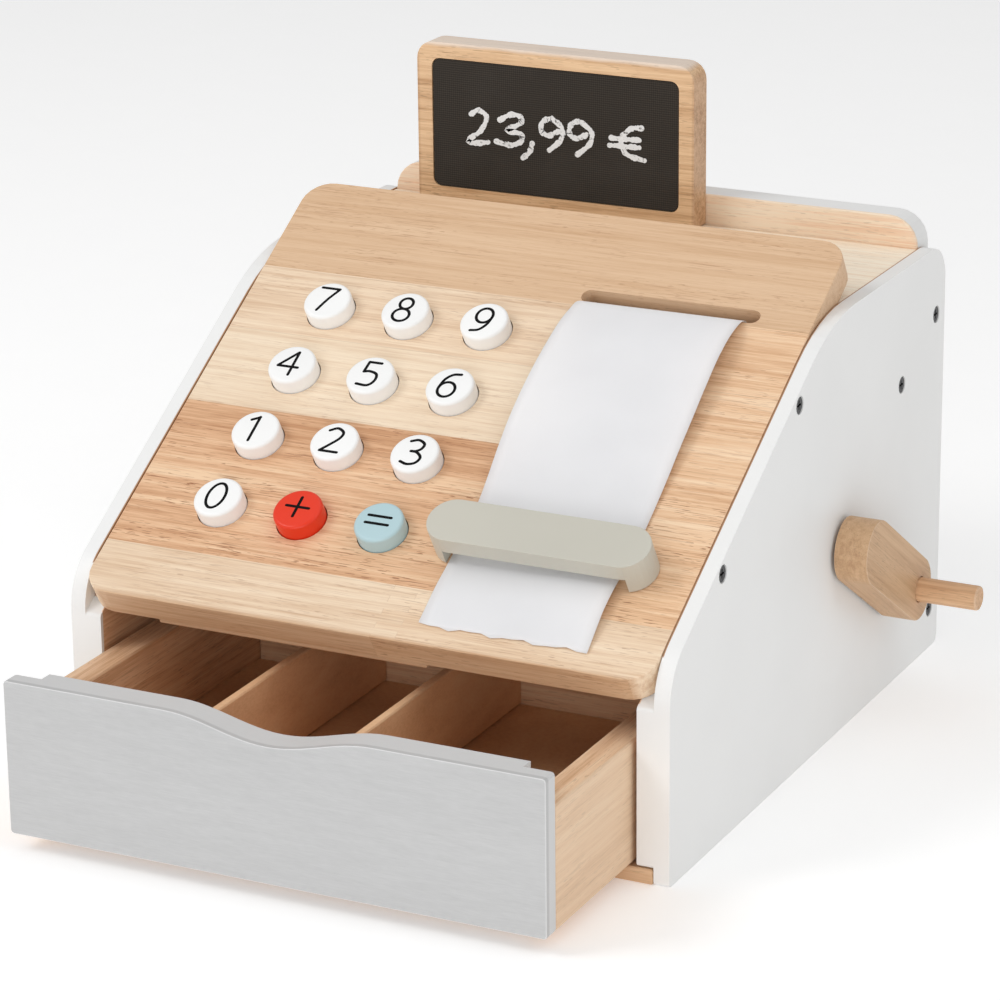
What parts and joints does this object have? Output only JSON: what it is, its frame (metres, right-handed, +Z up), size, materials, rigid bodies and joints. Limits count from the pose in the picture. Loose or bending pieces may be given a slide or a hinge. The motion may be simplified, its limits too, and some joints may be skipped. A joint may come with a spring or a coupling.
{
  "type": "toy cash register",
  "caption": "Wooden toy till: sloping panel with sprung number keys, paper slot and roll, price slate, sliding coin drawer and a side crank that pushes the closed drawer open.",
  "frame": {"origin": "centre of the case's underside, on the surface it stands on", "axes": "+Z up, -Y towards the user (the drawer opens towards -Y), +X to the user's right, where the crank is"},
  "size_m": [0.2325, 0.2767, 0.1939],
  "materials": {
    "natural_wood": "clear satin lacquer on plywood",
    "beech": "sanded beech, satin",
    "white_paint": "white satin paint on plywood",
    "grey_stain": "light grey stain with faint grain",
    "sage_paint": "greenish grey satin paint",
    "key_white": "white satin paint",
    "key_red": "red satin paint",
    "key_blue": "light blue satin paint",
    "slate": "matt chalkboard coating on a thin board",
    "paper": "plain till-roll paper",
    "card": "rolled grey-brown card",
    "foam": "open-cell foam sheet",
    "dark_steel": "blackened steel"
  },
  "bodies": {
    "case": {"base_board": "natural_wood", "back_panel": "natural_wood", "top_board": "natural_wood", "inner_rail": "natural_wood", "drawer_stop_batten": "natural_wood", "key_panel": "natural_wood", "left_key_spacer": "natural_wood", "right_key_spacer": "natural_wood", "key_carrier": "natural_wood", "left_roll_bracket": "natural_wood", "right_roll_bracket": "natural_wood", "sign_board": "natural_wood", "crank_bearing_block": "natural_wood", "left_side_panel": "white_paint", "right_side_panel": "white_paint", "key_return_foam": "foam", "paper_bar": "sage_paint", "receipt_paper": "paper", "roll_dowel": "beech", "chalk_slate": "slate", "left_screw_1": "dark_steel", "left_screw_2": "dark_steel", "left_screw_3": "dark_steel", "left_screw_4": "dark_steel", "left_screw_5": "dark_steel", "right_screw_1": "dark_steel", "right_screw_2": "dark_steel", "right_screw_3": "dark_steel", "right_screw_4": "dark_steel", "right_screw_5": "dark_steel"},
    "drawer": {"drawer_front": "grey_stain", "drawer_left_wall": "natural_wood", "drawer_right_wall": "natural_wood", "drawer_back": "natural_wood", "drawer_floor": "natural_wood", "drawer_left_divider": "natural_wood", "drawer_right_divider": "natural_wood"},
    "crank": {"crank_arm": "beech", "crank_grip": "beech", "crank_shaft": "beech", "drawer_pusher": "beech", "crank_washer": "dark_steel"},
    "roll": {"paper_roll": "paper", "roll_core": "card"},
    "key_0": {"key_0": "key_white"},
    "key_plus": {"key_plus": "key_red"},
    "key_equals": {"key_equals": "key_blue"},
    "key_1": {"key_1": "key_white"},
    "key_2": {"key_2": "key_white"},
    "key_3": {"key_3": "key_white"},
    "key_4": {"key_4": "key_white"},
    "key_5": {"key_5": "key_white"},
    "key_6": {"key_6": "key_white"},
    "key_7": {"key_7": "key_white"},
    "key_8": {"key_8": "key_white"},
    "key_9": {"key_9": "key_white"}
  },
  "joints": [
    {"name": "drawer_slide", "type": "slide", "parent": "case", "child": "drawer", "axis": [0, -1, 0], "range_m": [-0.0567, 0.055]},
    {"name": "crank_turn", "type": "hinge", "parent": "case", "child": "crank", "pos_m": [0.1, 0.0225, 0.0615], "axis": [1, 0, 0], "continuous": true},
    {"name": "paper_roll_turn", "type": "hinge", "parent": "case", "child": "roll", "pos_m": [0.0455, 0.04, 0.104], "axis": [1, 0, 0], "continuous": true},
    {"name": "key_0_press", "type": "slide", "parent": "case", "child": "key_0", "axis": [0, 0.5173, -0.8558], "range_m": [0, 0.003], "stiffness_N_per_m": 250, "springref_m": -0.001, "deforming": ["key_return_foam"]},
    {"name": "key_plus_press", "type": "slide", "parent": "case", "child": "key_plus", "axis": [0, 0.5173, -0.8558], "range_m": [0, 0.003], "stiffness_N_per_m": 250, "springref_m": -0.001, "deforming": ["key_return_foam"]},
    {"name": "key_equals_press", "type": "slide", "parent": "case", "child": "key_equals", "axis": [0, 0.5173, -0.8558], "range_m": [0, 0.003], "stiffness_N_per_m": 250, "springref_m": -0.001, "deforming": ["key_return_foam"]},
    {"name": "key_1_press", "type": "slide", "parent": "case", "child": "key_1", "axis": [0, 0.5173, -0.8558], "range_m": [0, 0.003], "stiffness_N_per_m": 250, "springref_m": -0.001, "deforming": ["key_return_foam"]},
    {"name": "key_2_press", "type": "slide", "parent": "case", "child": "key_2", "axis": [0, 0.5173, -0.8558], "range_m": [0, 0.003], "stiffness_N_per_m": 250, "springref_m": -0.001, "deforming": ["key_return_foam"]},
    {"name": "key_3_press", "type": "slide", "parent": "case", "child": "key_3", "axis": [0, 0.5173, -0.8558], "range_m": [0, 0.003], "stiffness_N_per_m": 250, "springref_m": -0.001, "deforming": ["key_return_foam"]},
    {"name": "key_4_press", "type": "slide", "parent": "case", "child": "key_4", "axis": [0, 0.5173, -0.8558], "range_m": [0, 0.003], "stiffness_N_per_m": 250, "springref_m": -0.001, "deforming": ["key_return_foam"]},
    {"name": "key_5_press", "type": "slide", "parent": "case", "child": "key_5", "axis": [0, 0.5173, -0.8558], "range_m": [0, 0.003], "stiffness_N_per_m": 250, "springref_m": -0.001, "deforming": ["key_return_foam"]},
    {"name": "key_6_press", "type": "slide", "parent": "case", "child": "key_6", "axis": [0, 0.5173, -0.8558], "range_m": [0, 0.003], "stiffness_N_per_m": 250, "springref_m": -0.001, "deforming": ["key_return_foam"]},
    {"name": "key_7_press", "type": "slide", "parent": "case", "child": "key_7", "axis": [0, 0.5173, -0.8558], "range_m": [0, 0.003], "stiffness_N_per_m": 250, "springref_m": -0.001, "deforming": ["key_return_foam"]},
    {"name": "key_8_press", "type": "slide", "parent": "case", "child": "key_8", "axis": [0, 0.5173, -0.8558], "range_m": [0, 0.003], "stiffness_N_per_m": 250, "springref_m": -0.001, "deforming": ["key_return_foam"]},
    {"name": "key_9_press", "type": "slide", "parent": "case", "child": "key_9", "axis": [0, 0.5173, -0.8558], "range_m": [0, 0.003], "stiffness_N_per_m": 250, "springref_m": -0.001, "deforming": ["key_return_foam"]}
  ]
}
